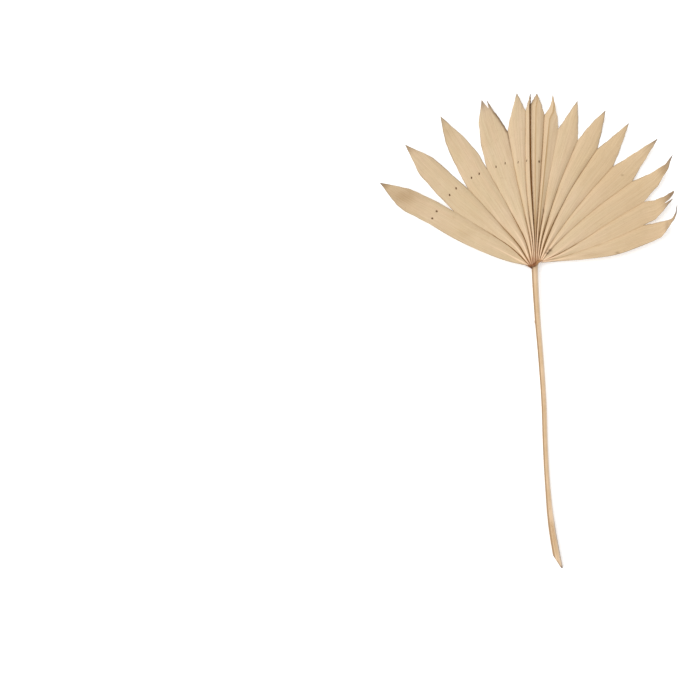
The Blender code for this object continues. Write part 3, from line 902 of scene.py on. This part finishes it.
def matted_crest():
    """A lumpy ridge along the crest's line, set with short dry fibres."""
    tree, given, result = grower("matted_crest", lumps=0.0018, lump_size=0.0012, fibres=320,
                                 fibre_length=0.0024, fibre_thickness=0.00007, seed=11)
    ridge = swept(tree, resampled(tree, given["Geometry"], 110), circle(tree, 22, 0.001))
    place = put(tree, "GeometryNodeInputPosition").outputs[0]
    scale = sums(tree, "DIVIDE", 1.0, given["Lump Size"])
    ridge = moved(tree, ridge, along_normal(tree, uneven(tree, given, place, scale, 3.0, given["Lumps"])))

    area = put(tree, "GeometryNodeAttributeStatistic",
               {"Geometry": ridge, 2: put(tree, "GeometryNodeInputMeshFaceArea").outputs[0]},
               data_type="FLOAT", domain="FACE").outputs["Sum"]
    density = sums(tree, "DIVIDE", given["Fibres"], area)
    roots = put(tree, "GeometryNodeDistributePointsOnFaces",
                {"Mesh": ridge, "Density": density, "Seed": given["Seed"]},
                distribute_method="RANDOM").outputs
    hair = resampled(tree, put(tree, "GeometryNodeCurvePrimitiveLine", {"Start": (0, 0, 0), "End": (0, 0, 1)},
                               mode="POINTS").outputs[0], 6)
    up = put(tree, "GeometryNodeSplineParameter").outputs["Factor"]
    hair = moved(tree, hair, joint(tree, X=times(tree, times(tree, up, up), 0.45)))
    hair = put(tree, "GeometryNodeSetCurveRadius",
               {"Curve": hair, "Radius": sums(tree, "SUBTRACT", 1.05, up)}).outputs[0]
    thin = sums(tree, "DIVIDE", given["Fibre Thickness"], given["Fibre Length"])
    size = put(tree, "FunctionNodeRandomValue", {"Seed": given["Seed"], 2: 0.35, 3: 1.0}, data_type="FLOAT")
    lean = put(tree, "FunctionNodeRandomValue", {"Seed": 31, 0: (-0.9, -0.9, -3.1), 1: (0.9, 0.9, 3.1)},
               data_type="FLOAT_VECTOR")
    fibres = put(tree, "GeometryNodeInstanceOnPoints",
                 {"Points": roots[0], "Instance": swept(tree, hair, circle(tree, 4, thin)),
                  "Rotation": roots["Rotation"],
                  "Scale": times(tree, size.outputs[1], given["Fibre Length"])}).outputs[0]
    fibres = put(tree, "GeometryNodeRotateInstances",
                 {"Instances": fibres, "Rotation": lean.outputs[0]}).outputs[0]
    joined = put(tree, "GeometryNodeJoinGeometry", {0: ridge})
    tree.links.new(fibres, joined.inputs[0])
    return closing(tree, given, result, joined.outputs[0])


def linked(name, data):
    """A new object in the scene."""
    item = bpy.data.objects.new(name, data)
    bpy.context.scene.collection.objects.link(item)
    return item


def made_real(item):
    """The mesh that an object's modifiers give; the object itself goes."""
    bpy.context.view_layer.update()
    mesh = bpy.data.meshes.new_from_object(item.evaluated_get(bpy.context.evaluated_depsgraph_get()))
    item.modifiers.clear()
    bpy.data.objects.remove(item)
    return mesh


def grown(item, tree, **sizes):
    """Runs a tree on an object and returns the result as a plain mesh."""
    modifier = item.modifiers.new(tree.name, "NODES")
    modifier.node_group = tree
    names = {socket.name: socket.identifier for socket in tree.interface.items_tree
             if socket.item_type == "SOCKET" and socket.in_out == "INPUT"}
    for name, value in sizes.items():
        modifier[names[spelt(name)]] = value
    return made_real(item)


def guide_curve(name, *lines):
    """Smooth guides through points given as across, along, height and thickness."""
    data = bpy.data.curves.new(name, "CURVE")
    data.dimensions = "3D"
    data.twist_mode = "Z_UP"
    data.resolution_u = 12
    for points in lines:
        spline = data.splines.new("BEZIER")
        spline.bezier_points.add(len(points) - 1)
        for point, (*place, thickness) in zip(spline.bezier_points, points):
            point.co = in_metres(place)
            point.handle_left_type = point.handle_right_type = "AUTO"
            point.radius = thickness
    return linked(name, data)


def show(name, mesh, node, crease=None):
    """Puts a finished mesh in the scene, riding on the frond's body in place of its solid."""
    mesh.name = name
    mesh.shade_smooth()
    if crease:
        mesh.set_sharp_from_angle(angle=math.radians(crease))
    item = linked(name, mesh)
    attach(item, "root")
    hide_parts(node)


# ---- settings --------------------------------------------------------------------------

def colour_setting(name, description, value):
    return FloatVectorProperty(name=name, description=description, subtype="COLOR", size=3, min=0, max=1,
                               default=value)


def length_setting(name, description, value):
    return FloatProperty(name=name, description=description, unit="LENGTH", default=value, min=0.0)


class BladeSettings(bpy.types.PropertyGroup):
    thickness: length_setting("Thickness", "Thickness of the dry blade", BLADE_THICKNESS * MM)
    ripple: length_setting("Ripple Height", "Height of the soft ripples of the dried sheet", 0.0011)
    vein: length_setting("Vein Height", "Height of the secondary veins", 0.00012)
    prick: length_setting("Prick Width", "Width of the small pricks", 0.0012)
    pale: colour_setting("Pale", "Palest colour of the blade", (0.735, 0.56, 0.365))
    straw: colour_setting("Straw", "Straw colour of its patches", (0.685, 0.51, 0.30))
    olive: colour_setting("Olive", "Greenish tan of some long bands", (0.66, 0.535, 0.33))
    rosy: colour_setting("Rosy", "Rosy colour of its broad patches", (0.73, 0.53, 0.37))
    warm: colour_setting("Warm", "Warmer colour towards the right side", (0.645, 0.46, 0.265))
    brown: colour_setting("Brown", "Colour of veins and edges", (0.34, 0.20, 0.09))
    # partly the folds' own brown, partly painted crease shade; also the darkest painted flank shade
    fold: colour_setting("Fold", "Colour down in the folds", (0.215, 0.083, 0.009))
    # painted shade colour of the shaded flanks and midrib grooves, also the broad stains' warm tint
    painted_shade_and_stain_tint: colour_setting("Ochre", "Colour of the browned flanks and midribs", (0.385, 0.21, 0.056))
    # a painted highlight on the ridges near the crest, partly their paler wear
    ridge: colour_setting("Ridge", "Rosy pale colour of the ridges near the crest", (0.90, 0.64, 0.43))
    crown: colour_setting("Crown", "Colour where the folds meet the crest", (0.40, 0.17, 0.065))
    # also the colour of the painted shade along a margin
    stain_and_margin_shade: colour_setting("Stain", "Colour of stains and pricks", (0.15, 0.075, 0.028))
    weathered: colour_setting("Weathered", "Grey brown of the weathered tips", (0.18, 0.115, 0.075))


class StemSettings(bpy.types.PropertyGroup):
    width: length_setting("Width", "Full width of the stem", 0.0062)
    rise: length_setting("Rise", "Height of its flat top over its widest line", 0.0021)
    depth: length_setting("Depth", "Depth of its round underside", 0.003)
    groove: length_setting("Groove Depth", "Depth of the long grooves", 0.0005)
    pale: colour_setting("Pale", "Palest colour of the stem's top", (0.84, 0.61, 0.40))
    straw: colour_setting("Straw", "Straw colour of its patches", (0.70, 0.485, 0.275))
    margin: colour_setting("Margin", "Browner colour of its left margin", (0.30, 0.175, 0.08))
    # a painted highlight along the right margin
    grey: colour_setting("Grey", "Greyish colour of its right margin", (0.86, 0.73, 0.60))
    brown: colour_setting("Brown", "Dark colour of specks and of the cut tip", (0.16, 0.08, 0.035))
    red: colour_setting("Red", "Reddish brown of the specks above the cut", (0.42, 0.17, 0.06))


class CrestSettings(bpy.types.PropertyGroup):
    fibres: IntProperty(name="Fibres", description="How many short fibres stand on the crest", default=420)
    fibre_length: length_setting("Fibre Length", "Length of the longest fibres", 0.0017)
    red: colour_setting("Red", "Reddish brown of the crest", (0.36, 0.13, 0.045))
    brown: colour_setting("Brown", "Darkest brown of the crest", (0.17, 0.065, 0.025))
    core: colour_setting("Core", "Dark red of its middle", (0.20, 0.05, 0.018))
    dry: colour_setting("Dry", "Dry tan of its fibres", (0.56, 0.32, 0.15))


class StageSettings(bpy.types.PropertyGroup):
    floor: colour_setting("Floor", "Colour of the floor", (0.93, 0.93, 0.93))
    floor_glow: FloatProperty(name="Floor Glow", description="Light of the pale floor itself", default=0.28)
    sun: FloatProperty(name="Sun Strength", description="Strength of the soft main light", default=1.55)
    sky: FloatProperty(name="Sky Strength", description="Strength of the light from all round", default=0.79)
    height: FloatProperty(name="Sun Height", description="Height of the main light over the floor",
                          subtype="ANGLE", default=math.radians(46))
    side: FloatProperty(name="Sun Side", description="Direction that the main light comes from, from +X",
                        subtype="ANGLE", default=math.radians(168))


# ---- operators -------------------------------------------------------------------------

class FROND_OT_blade(bpy.types.Operator):
    """Make the pleated blade"""
    bl_idname = "frond.blade"
    bl_label = "Make Blade"

    def execute(self, context):
        look = context.scene.frond_blade
        sheet = LeafSheet()
        for index in range(len(FINGERS)):
            sheet.join(Finger(index))
        sheet.pricks(PRICKS, *(look.prick / MM * share for share in PRICK_SHAPE))
        flat = linked("blade_sheet", sheet.mesh("blade_sheet"))
        skin = grown(flat, leaf_relief(), ripple_height=look.ripple, vein_height=look.vein,
                     finish=finish_blade(look))
        item = linked("blade_wall", skin)
        wall = item.modifiers.new("thickness", "SOLIDIFY")
        wall.thickness = look.thickness
        wall.offset = 0.0
        mesh = made_real(item)
        # nothing of it goes below the surface it lies on
        for vert in mesh.vertices:
            vert.co.z = max(vert.co.z, 0.0)
        show("frond_blade", mesh, "blade", crease=50)
        return {"FINISHED"}


class FROND_OT_stem(bpy.types.Operator):
    """Make the stem with its slanting cut"""
    bl_idname = "frond.stem"
    bl_label = "Make Stem"

    def execute(self, context):
        look = context.scene.frond_stem
        guide = guide_curve("stem_guide", STEM_LINE)
        mesh = grown(guide, stem_sweep(), width=look.width, rise=look.rise, depth=look.depth,
                     groove_depth=look.groove, finish=finish_stem(look))
        shape = bmesh.new()
        shape.from_mesh(mesh)
        bmesh.ops.remove_doubles(shape, verts=shape.verts, dist=1e-6)
        scar = Vector(in_metres(SCAR))
        for vert in shape.verts:
            near = (vert.co - scar).length / (SCAR_REACH * MM)
            vert.co += vert.normal * SCAR_HEIGHT * MM * math.exp(-near * near)
        # the slanting cut, its cap, and how far each point is from the cut and from the very tip
        cut_way = polar(STEM_CUT_DIRECTION, 1.0)
        away = Vector((cut_way[1], -cut_way[0], 0.0))
        corner = Vector(in_metres((*STEM_CUT_POINT, 0.0)))
        bmesh.ops.bisect_plane(shape, geom=shape.verts[:] + shape.edges[:] + shape.faces[:], dist=1e-7,
                               plane_co=corner, plane_no=away, clear_outer=True)
        rim_edges = [edge for edge in shape.edges if edge.is_boundary]
        cap = bmesh.ops.contextual_create(shape, geom=rim_edges)["faces"]
        bmesh.ops.triangulate(shape, faces=cap)
        cut_gap = shape.verts.layers.float.new("cut_gap")
        tip_gap = shape.verts.layers.float.new("tip_gap")
        tip = min(vert.co.y for vert in shape.verts)
        for vert in shape.verts:
            vert[cut_gap] = abs((vert.co - corner).dot(away)) / MM
            vert[tip_gap] = (vert.co.y - tip) / MM
        bmesh.ops.recalc_face_normals(shape, faces=shape.faces)
        shape.to_mesh(mesh)
        shape.free()
        show("frond_stem", mesh, "stem", crease=45)
        return {"FINISHED"}


class FROND_OT_crest(bpy.types.Operator):
    """Make the matted crest between stem and blade"""
    bl_idname = "frond.crest"
    bl_label = "Make Crest"

    def execute(self, context):
        look = context.scene.frond_crest
        guide = guide_curve("crest_guide", *CREST_LINES)
        mesh = grown(guide, matted_crest(), fibres=look.fibres, fibre_length=look.fibre_length,
                     finish=finish_crest(look))
        show("frond_crest", mesh, "crest")
        return {"FINISHED"}


class FROND_OT_stage(bpy.types.Operator):
    """Make the floor, the lights and the camera that looks straight down"""
    bl_idname = "frond.stage"
    bl_label = "Make Stage"

    def execute(self, context):
        look = context.scene.frond_stage
        scene = context.scene
        mesh = bpy.data.meshes.new("floor")
        shape = bmesh.new()
        bmesh.ops.create_grid(shape, x_segments=2, y_segments=2, size=15.0)
        shape.to_mesh(mesh)
        shape.free()
        material, _, shader = new_material("pale_floor", 0.9, 0.0)
        shader.inputs["Base Color"].default_value = (*look.floor, 1.0)
        shader.inputs["Emission Color"].default_value = (1.0, 1.0, 1.0, 1.0)
        shader.inputs["Emission Strength"].default_value = look.floor_glow
        mesh.materials.append(material)
        floor = linked("floor", mesh)
        floor.location.z = -FLOOR_GAP

        lamp = bpy.data.lights.new("soft_main_light", "SUN")
        lamp.energy = look.sun
        lamp.angle = math.radians(50)
        lamp.color = (1.0, 0.985, 0.96)
        sun = linked("soft_main_light", lamp)
        flat = math.cos(look.height)
        towards = Vector((flat * math.cos(look.side), flat * math.sin(look.side), math.sin(look.height)))
        sun.rotation_euler = (-towards).to_track_quat("-Z", "Y").to_euler()

        world = bpy.data.worlds.new("pale_studio")
        scene.world = world
        world.use_nodes = True
        tree = world.node_tree
        tree.nodes.clear()
        glow = put(tree, "ShaderNodeBackground", {"Color": (0.97, 0.985, 1.0, 1.0), "Strength": look.sky})
        seen = put(tree, "ShaderNodeBackground", {"Color": (1.0, 1.0, 1.0, 1.0), "Strength": 1.0})
        rays = put(tree, "ShaderNodeLightPath")
        mixed = put(tree, "ShaderNodeMixShader", {0: rays.outputs["Is Camera Ray"], 1: glow.outputs[0],
                                                  2: seen.outputs[0]})
        put(tree, "ShaderNodeOutputWorld", {"Surface": mixed.outputs[0]})
        scene.view_settings.view_transform = "Standard"
        scene.view_settings.look = "None"

        lens = bpy.data.cameras.new("camera")
        lens.lens = CAMERA_LENS
        lens.sensor_width = 36.0
        lens.clip_end = 50.0
        camera = linked("camera", lens)
        camera.location = (HUB[0] + CAMERA_PLACE[0], HUB[1] + CAMERA_PLACE[1], CAMERA_PLACE[2])
        scene.camera = camera
        return {"FINISHED"}


class FROND_PT_sidebar(bpy.types.Panel):
    """Lists the frond's pieces and their settings"""
    bl_idname = "FROND_PT_sidebar"
    bl_label = "Dried Fan Palm Frond"
    bl_space_type = "VIEW_3D"
    bl_region_type = "UI"
    bl_category = "Frond"

    def draw(self, context):
        for label, operator, settings in PIECES:
            box = self.layout.box()
            box.label(text=label)
            box.operator(operator)
            group = getattr(context.scene, settings)
            for name in group.bl_rna.properties.keys():
                if name not in ("rna_type", "name"):
                    box.prop(group, name)


PIECES = (
    ("Blade", "frond.blade", "frond_blade"),
    ("Stem", "frond.stem", "frond_stem"),
    ("Crest", "frond.crest", "frond_crest"),
    ("Stage", "frond.stage", "frond_stage"),
)
SETTINGS = {"frond_blade": BladeSettings, "frond_stem": StemSettings, "frond_crest": CrestSettings,
            "frond_stage": StageSettings}
OPERATORS = (FROND_OT_blade, FROND_OT_stem, FROND_OT_crest, FROND_OT_stage)


def register():
    for name, group in SETTINGS.items():
        bpy.utils.register_class(group)
        setattr(bpy.types.Scene, name, PointerProperty(type=group))
    for operator in OPERATORS:
        bpy.utils.register_class(operator)
    bpy.utils.register_class(FROND_PT_sidebar)


def unregister():
    bpy.utils.unregister_class(FROND_PT_sidebar)
    for operator in reversed(OPERATORS):
        bpy.utils.unregister_class(operator)
    for name, group in reversed(SETTINGS.items()):
        delattr(bpy.types.Scene, name)
        bpy.utils.unregister_class(group)


def main():
    register()
    bpy.ops.frond.blade()
    bpy.ops.frond.stem()
    bpy.ops.frond.crest()
    bpy.ops.frond.stage()


if __name__ == "__main__":
    main()
